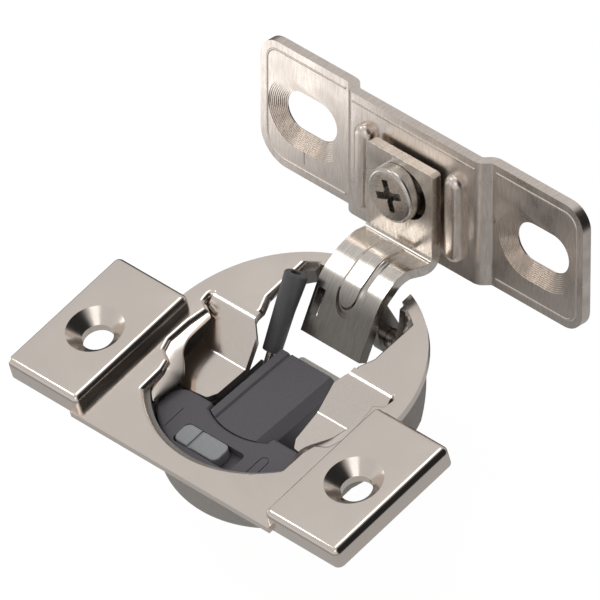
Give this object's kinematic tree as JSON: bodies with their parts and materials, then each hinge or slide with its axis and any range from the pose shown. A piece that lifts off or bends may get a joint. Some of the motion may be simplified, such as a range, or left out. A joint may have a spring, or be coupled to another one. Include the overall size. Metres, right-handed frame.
{
  "type": "concealed cup hinge",
  "caption": "Concealed cabinet hinge: round cup for a door, folded steel arm and a slotted mounting plate, with springs and a switchable damper.",
  "frame": {"origin": "on the cup's axis, in the door's face, which is the underside of the flange", "axes": "+X along the hinge axis, +Y from the cup towards the mounting plate, +Z out of the door"},
  "size_m": [0.0576, 0.0518, 0.0276],
  "materials": {
    "plated_steel": "bright nickel plating on pressed sheet",
    "zinc_steel": "zinc plated, turned",
    "die_cast": "matt die-cast",
    "spring_steel": "oiled wire",
    "dark_plastic": "moulded, fine spark texture",
    "black_plastic": "moulded, smooth",
    "grey_plastic": "moulded, smooth",
    "pale_plastic": "natural acetal"
  },
  "bodies": {
    "root": {"cup_flange": "plated_steel", "cup_shell": "die_cast", "pivot_pin": "zinc_steel", "cover": "dark_plastic", "closing_spring_left": "spring_steel", "closing_spring_right": "spring_steel", "damper_housing": "dark_plastic", "damper_piston_rod": "zinc_steel"},
    "arm": {"arm": "plated_steel"},
    "plate": {"mounting_plate": "plated_steel", "clinch_nut": "zinc_steel"},
    "screw": {"adjusting_screw": "plated_steel"},
    "slider": {"cam_slider": "pale_plastic"},
    "switch": {"switch_slider": "grey_plastic"},
    "damper": {"damper_cylinder": "black_plastic"}
  },
  "joints": [
    {"name": "arm_swing", "type": "hinge", "parent": "root", "child": "arm", "pos_m": [0, 0.0139, -0.0042], "axis": [1, 0, 0], "range_deg": [-90, 17]},
    {"name": "plate_adjust", "type": "slide", "parent": "arm", "child": "plate", "axis": [0, 0.2924, 0.9563], "range_m": [-0.0012, 0.0012]},
    {"name": "screw_turn", "type": "hinge", "parent": "plate", "child": "screw", "pos_m": [0, 0.02457, 0.01022], "axis": [0, -0.9563, 0.2924], "continuous": true},
    {"name": "slider_travel", "type": "slide", "parent": "root", "child": "slider", "axis": [0, 1, 0], "range_m": [-0.0015, 0], "stiffness_N_per_m": 200, "springref_m": 0.0005, "deforming": ["closing_spring_left", "closing_spring_right"]},
    {"name": "switch_slide", "type": "slide", "parent": "root", "child": "switch", "axis": [1, 0, 0], "range_m": [0, 0.0017]},
    {"name": "damper_stroke", "type": "slide", "parent": "root", "child": "damper", "axis": [0, -0.6476, -0.7619], "range_m": [0, 0.0008], "stiffness_N_per_m": 60, "springref_m": -0.0005}
  ]
}
